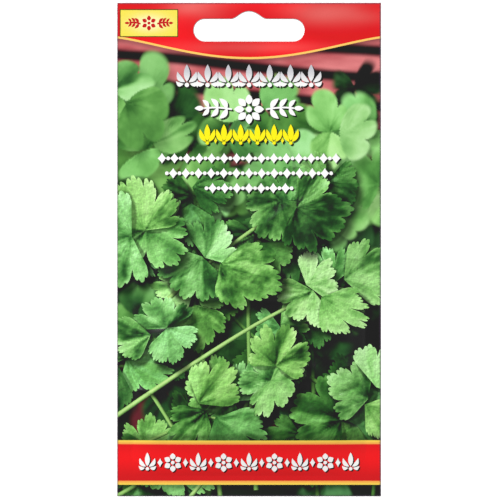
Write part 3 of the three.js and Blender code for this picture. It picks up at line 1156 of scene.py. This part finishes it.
# Roughens a surface by a height
def bumpBy(tree, shader, height, strength, distance, sockets=("Normal",)):
    bump = node(tree, "ShaderNodeBump", Strength=strength, Distance=distance)
    tree.links.new(height, bump.inputs["Height"])
    for socket in sockets:
        tree.links.new(bump.outputs["Normal"], shader.inputs[socket])

laminate = {
    "ribWidth": 0.13, "ribLight": 0.26,    # half width in millimetres, and how much paler
    "ribStart": 0.8,                       # distance from the base at which ribs and veins set in
    "veinEvery": 1.5, "veinSlant": 1.2,    # distance between side veins, and how far they run back
    "veinWidth": 0.12, "veinLight": 0.13,
    "crumpleScale": 900.0, "towardsSun": (0.2, 0, -0.27),
    "grainScale": 2600.0, "grain": 0.10,
    "glossChange": 0.14, "coatRoughness": 0.09, "specular": 0.35,
    "bump": 0.16, "bumpDepth": 0.0003,
}

# Ink under a clear laminate: the painted colour with fine paper grain, pale leaf ribs with side veins
# and a crumpled leaf surface, slow changes of gloss, and the soft unevenness of laminated paper
def printMaterial(name, roughness, coat, crumpled):
    material, tree, shader = newMaterial(name, roughness)
    operations = ("ADD", "SUBTRACT", "MULTIPLY", "DIVIDE")
    plus, minus, times, over = (partial(calc, tree, operation) for operation in operations)
    ribMap = tree.nodes.new("ShaderNodeUVMap")
    ribMap.uv_map = "ribs"
    split = tree.nodes.new("ShaderNodeSeparateXYZ")
    tree.links.new(ribMap.outputs["UV"], split.inputs["Vector"])
    turns, reach = split.outputs["X"], split.outputs["Y"]
    # a rib lies where the pattern's turns are whole; away is the distance to it in millimetres
    away = minus(calc(tree, "FRACT", plus(turns, 0.5)), 0.5)
    away = times(calc(tree, "ABSOLUTE", away), reach, ribEvery)
    started = times(minus(reach, laminate["ribStart"]), 0.8, clamp=True)
    rib = minus(1.0, over(away, laminate["ribWidth"]), clamp=True)
    # side veins leave the ribs outwards, one for each pitch of the reach less a share of away
    phase = over(minus(reach, times(away, laminate["veinSlant"])), laminate["veinEvery"])
    apart = calc(tree, "ABSOLUTE", minus(calc(tree, "FRACT", phase), 0.5))
    vein = minus(1.0, over(apart, laminate["veinWidth"]), clamp=True)
    paler = plus(times(rib, started, laminate["ribLight"]), times(vein, started, laminate["veinLight"]))
    # the crumpled leaf surface, lit from above left: the noise less itself a step away from the light
    scale, onLeaf = laminate["crumpleScale"], calc(tree, "GREATER_THAN", reach, -0.5)
    crumple = minus(scaledNoise(tree, scale, 2.0), scaledNoise(tree, scale, 2.0, laminate["towardsSun"]))
    grain = times(minus(scaledNoise(tree, laminate["grainScale"], 3.0), 0.5), laminate["grain"])
    tint = tree.nodes.new("ShaderNodeVectorMath")
    tint.operation = "SCALE"
    tree.links.new(attribute(tree, "ink", "Color"), tint.inputs[0])
    tree.links.new(plus(paler, times(crumple, onLeaf, crumpled), 1.0, grain), tint.inputs["Scale"])
    tree.links.new(tint.outputs[0], shader.inputs["Base Color"])
    change = laminate["glossChange"]
    gloss = plus(times(scaledNoise(tree, 60.0, 4.0), change), roughness - change / 2)
    tree.links.new(gloss, shader.inputs["Roughness"])
    shader.inputs["Coat Weight"].default_value = coat
    shader.inputs["Coat Roughness"].default_value = laminate["coatRoughness"]
    shader.inputs["Specular IOR Level"].default_value = laminate["specular"]
    uneven = plus(scaledNoise(tree, 150.0, 2.0), times(scaledNoise(tree, 900.0, 3.0), 0.25))
    bumpBy(tree, shader, uneven, laminate["bump"], laminate["bumpDepth"], ("Normal", "Coat Normal"))
    return material

# Cut paper: white fibres, greyed here and there
def edgeMaterial():
    material, tree, shader = newMaterial("cut_paper_edge", 0.75)
    shadeBy(tree, shader, scaledNoise(tree, 900.0, 4.0), (0.42, 0.38, 0.40), (0.86, 0.84, 0.82))
    bumpBy(tree, shader, scaledNoise(tree, 3000.0, 3.0), 0.4, 0.0001)
    return material

# The milky sealing film on the inner face
def linerMaterial():
    material, tree, shader = newMaterial("sealing_film", 0.38)
    shadeBy(tree, shader, scaledNoise(tree, 220.0, 3.0), (0.66, 0.66, 0.65), (0.80, 0.80, 0.78))
    return material

# Dry husk: tan to brown by seed and by place, darker between the ribs, matte
def huskMaterial():
    material, tree, shader = newMaterial("seed_husk", 0.7)
    fleck = calc(tree, "MULTIPLY", calc(tree, "SUBTRACT", scaledNoise(tree, 1400.0, 4.0), 0.5), 0.5)
    shade = calc(tree, "ADD", attribute(tree, "husk", "Fac"), fleck)
    shadeBy(tree, shader, shade, (0.16, 0.085, 0.035), (0.60, 0.42, 0.20))
    bumpBy(tree, shader, scaledNoise(tree, 2400.0, 4.0), 0.5, 0.0001)
    return material

# Gives a piece its materials, in the order of its faces' numbers
def dress(piece, *materials):
    for material in materials:
        piece.data.materials.append(material)

edge, liner = edgeMaterial(), linerMaterial()

frontMarks = leafMarks() + friezeMarks() + headerMarks() + bandMarks()
frontSheet = makeSheet("printed_front", -1, frontMarks, pictureGround, paper["spacing"])
dress(frontSheet, printMaterial("front_print", 0.34, coat=0.6, crumpled=1.3), edge, liner)
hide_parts("front_sheet")
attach(frontSheet, "root")

backSheet = makeSheet("printed_back", 1, backMarks(), backGround, paper["backSpacing"])
dress(backSheet, printMaterial("back_print", 0.38, coat=0.45, crumpled=0.0), edge, liner)
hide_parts("back_sheet")
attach(backSheet, "root")

# Seeds

husk = {
    "radius": 1.62, "ribs": 10, "ribDepth": 0.055, "around": 40, "along": 17, "tip": 0.12, "seed": 4,
    "sizes": (0.94, 1.03), "lengths": (0.98, 1.05), "shades": (0.35, 0.75),
}

# Triangles from one point to each pair of neighbours on a ring
def fanFaces(tip, ring):
    return np.stack([np.full(len(ring), tip), ring, np.roll(ring, -1)], 1)

# Four-sided faces between rings of points that are numbered ring by ring
def ringFaces(rings, count):
    k = np.arange(count)
    a, b = (np.arange(rings - 1)[:, None] * count + column for column in (k, (k + 1) % count))
    return np.stack([a, a + count, b + count, b], -1).reshape(-1, 4)

# Round ribbed seeds: a ball whose radius follows |sin| ribs round its axis and ends in a blunt tip,
# one copy at each place, turned at random
def makeSeeds():
    rng = np.random.default_rng(husk["seed"])
    polar = np.linspace(0, pi, husk["along"])[1:-1, None]
    around = np.linspace(0, 2 * pi, husk["around"], endpoint=False)[None, :]
    rib = np.abs(np.sin(around * husk["ribs"] / 2)) ** 0.7 * np.sin(polar) ** 0.6
    r = 1 - husk["ribDepth"] * (1 - rib)
    out = r * np.sin(polar)
    body = np.stack([out * np.cos(around), out * np.sin(around), r * np.cos(polar)], -1)
    body[:2, :, 2] += husk["tip"] * 0.4
    ball = np.concatenate([body.reshape(-1, 3), [(0, 0, 1 + husk["tip"]), (0, 0, -0.97)]])
    pale = np.append(rib.ravel(), [0.4, 0.4])
    n, rings = husk["around"], husk["along"] - 2
    top = fanFaces(rings * n, np.arange(n))
    end = fanFaces(rings * n + 1, np.arange(n) + (rings - 1) * n)[:, [0, 2, 1]]
    points, faces, shade = [], [], []
    for number, place in enumerate(seedPlaces):
        turn, _ = np.linalg.qr(rng.normal(size=(3, 3)))
        turn *= np.sign(np.linalg.det(turn))
        size = husk["radius"] * rng.uniform(*husk["sizes"]) * np.array((1, 1, rng.uniform(*husk["lengths"])))
        points.append((ball * size) @ turn.T + place + (0, 0, packet["bottom"]))
        for part in (ringFaces(rings, n), top, end):
            faces += (part + number * len(ball)).tolist()
        shade.append(np.clip(rng.uniform(*husk["shades"]) + 0.35 * (pale - 0.6), 0, 1))
    piece = newPiece("coriander_seeds", np.concatenate(points) * mm, faces)
    shade = np.concatenate(shade).astype(np.float32)
    piece.data.attributes.new("husk", "FLOAT", "POINT").data.foreach_set("value", shade)
    piece.data.update()
    return piece

seeds = makeSeeds()
dress(seeds, huskMaterial())
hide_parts(*seedNames)
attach(seeds, "root")
print("seeds", len(seeds.data.polygons), "faces")

# Stage, lights and camera

stage = {
    "gap": 0.03, "radius": 2.2, "rise": 1.6, "curve": 0.7, "segments": 96,
    "flat": [0.0, 0.3, 0.8, 1.3],      # radii of the floor's inner rings
    "pale": 0.42, "glow": 0.86,        # a matte floor with a light of its own
}

# A pale floor that curves up all round into a wall: a profile of flat, quarter circle and upright,
# turned about the upright axis
def makeStage():
    low, curve, n = packet["bottom"] * mm - stage["gap"], stage["curve"], stage["segments"]
    turn = np.linspace(0, pi / 2, 14)
    r = np.concatenate([stage["flat"], stage["radius"] - curve + curve * np.sin(turn), [stage["radius"]]])
    z = np.concatenate([0 * np.array(stage["flat"]), curve * (1 - np.cos(turn)), [stage["rise"]]]) + low
    around = np.linspace(0, 2 * pi, n, endpoint=False)
    x, y = np.outer(r[1:], np.cos(around)), np.outer(r[1:], np.sin(around))
    rings = np.stack([x, y, np.repeat(z[1:, None], n, 1)], -1)
    points = np.concatenate([[(0, 0, low)], rings.reshape(-1, 3)])
    faces = fanFaces(0, 1 + np.arange(n)).tolist() + (1 + ringFaces(len(rings), n)).tolist()
    floor = newPiece("floor", points, faces)
    material, tree, shader = newMaterial("pale_floor", 0.9)
    shader.inputs["Base Color"].default_value = (stage["pale"], stage["pale"], stage["pale"], 1)
    shader.inputs["Emission Color"].default_value = (1, 1, 1, 1)
    shader.inputs["Emission Strength"].default_value = stage["glow"]
    floor.data.materials.append(material)
    # the packet is lit by the lamps and the room alone, so that its form shows
    floor.visible_diffuse = floor.visible_glossy = False
    floor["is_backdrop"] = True

# Place in metres, size and power of each round lamp, and the strength of the white room
lamps = {
    "key": ((-1.25, -0.8, 1.0), 0.35, 40.0),
    "front_right": ((1.15, -1.05, 0.3), 0.9, 8.2),
    "front_left": ((-1.15, -1.05, 0.3), 0.9, 3.8),
    "rear_key": ((-1.2, 0.8, 0.9), 0.35, 25.0),
    "rear_right": ((1.15, 1.05, 0.3), 0.9, 6.3),
    "rear_left": ((-1.15, 1.05, 0.3), 0.9, 3.8),
}
roomLight = 0.27

def addLight(name, place, target, size, power):
    data = bpy.data.lights.new(name, "AREA")
    data.shape, data.size, data.energy = "DISK", size, power
    lamp = bpy.data.objects.new(name, data)
    lamp.location = place
    lamp.visible_camera = False
    lamp.rotation_euler = (Vector(target) - Vector(place)).to_track_quat("-Z", "Y").to_euler()
    bpy.context.scene.collection.objects.link(lamp)

makeStage()
middle = np.mean(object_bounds(), axis=0)
for name, (place, size, power) in lamps.items():
    addLight(name, place, middle, size, power)

scene = bpy.context.scene
world = bpy.data.worlds.new("room")
world.use_nodes = True
world.node_tree.nodes["Background"].inputs["Color"].default_value = (1, 1, 1, 1)
world.node_tree.nodes["Background"].inputs["Strength"].default_value = roomLight
scene.world = world
scene.view_settings.view_transform = "Standard"
print("stage with", len(lamps), "lamps")

# The packet fills 494 of the picture's 500 pixels, a little left of the middle, seen square on
view = {
    "lens": 200.0, "sensor": 36.0, "pixels": 500,
    "packetPixels": 494.0, "centreX": 249.0, "centreY": 249.5,
}

mmPerPixel = packet["height"] / view["packetPixels"]
distance = mmPerPixel * view["pixels"] * view["lens"] / view["sensor"] * mm
camera = bpy.data.objects.new("camera", bpy.data.cameras.new("camera"))
camera.data.lens, camera.data.sensor_width = view["lens"], view["sensor"]
right = (view["pixels"] / 2 - view["centreX"]) * mmPerPixel * mm
lift = (view["centreY"] - view["pixels"] / 2) * mmPerPixel * mm
camera.location = (right, -distance, middle[2] + lift)
camera.rotation_euler = (pi / 2, 0, 0)
scene.collection.objects.link(camera)
scene.camera = camera
print("camera", round(distance, 3), "m away")
